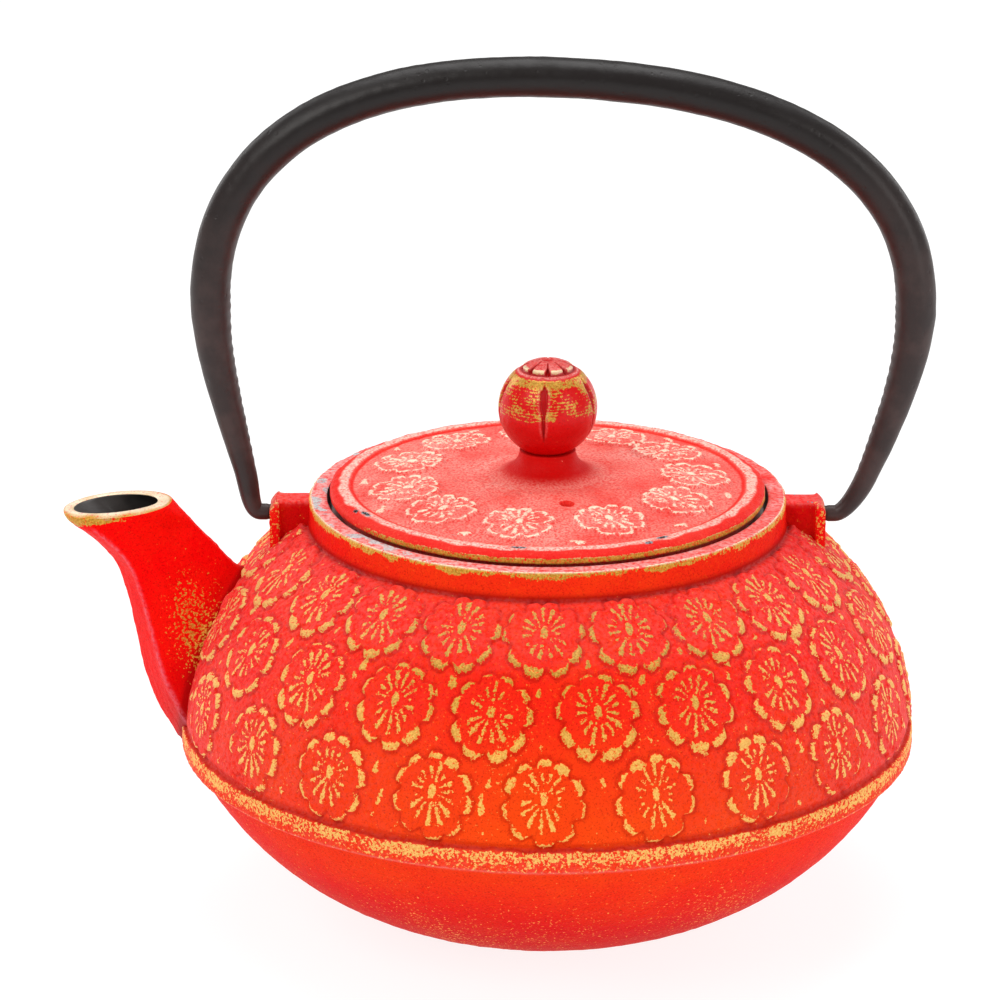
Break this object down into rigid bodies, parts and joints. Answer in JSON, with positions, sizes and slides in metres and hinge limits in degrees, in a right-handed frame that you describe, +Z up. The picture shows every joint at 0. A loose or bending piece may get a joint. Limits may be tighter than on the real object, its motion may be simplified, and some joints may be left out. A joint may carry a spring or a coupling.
{
  "type": "cast iron teapot",
  "caption": "Enamelled cast iron teapot with a flange belt, a short spout, a lift-off lid with a ball knob, a swinging bail handle and a steel leaf infuser.",
  "frame": {"origin": "centre of the flat base, on the pot's axis, in the plane that the pot stands on", "axes": "+Z up along the pot's axis; -X toward the spout; the handle turns about an axis along X; -Y is the side the picture shows"},
  "size_m": [0.183, 0.156, 0.1845],
  "materials": {
    "red_enamel": "red enamel on sand-cast iron with gold rubbed on the relief",
    "lid_enamel": "red enamel with gold rubbed on the relief",
    "forged_bar": "satin black lacquer on forged iron",
    "infuser_steel": "brushed",
    "fixing_steel": "dark oxide"
  },
  "bodies": {
    "pot": {"pot_body": "red_enamel", "pot_rim": "red_enamel", "spout": "red_enamel", "lug_spout_side": "red_enamel", "lug_far_side": "red_enamel"},
    "handle": {"handle": "forged_bar"},
    "infuser": {"infuser_rim": "infuser_steel", "infuser_wall": "infuser_steel", "infuser_floor": "infuser_steel"},
    "lid": {"lid": "lid_enamel", "lid_skirt": "lid_enamel", "knob": "lid_enamel", "knob_rivet": "fixing_steel", "knob_washer": "fixing_steel"}
  },
  "joints": [
    {"name": "handle_swing", "type": "hinge", "parent": "pot", "child": "handle", "pos_m": [0, 0, 0.0859], "axis": [1, 0, 0], "range_deg": [-117, 117]},
    {"name": "infuser_lift", "type": "slide", "parent": "pot", "child": "infuser", "axis": [0, 0, 1], "range_m": [0, 0.024]},
    {"name": "lid_lift", "type": "slide", "parent": "infuser", "child": "lid", "axis": [0, 0, 1], "range_m": [0, 0.028]}
  ]
}
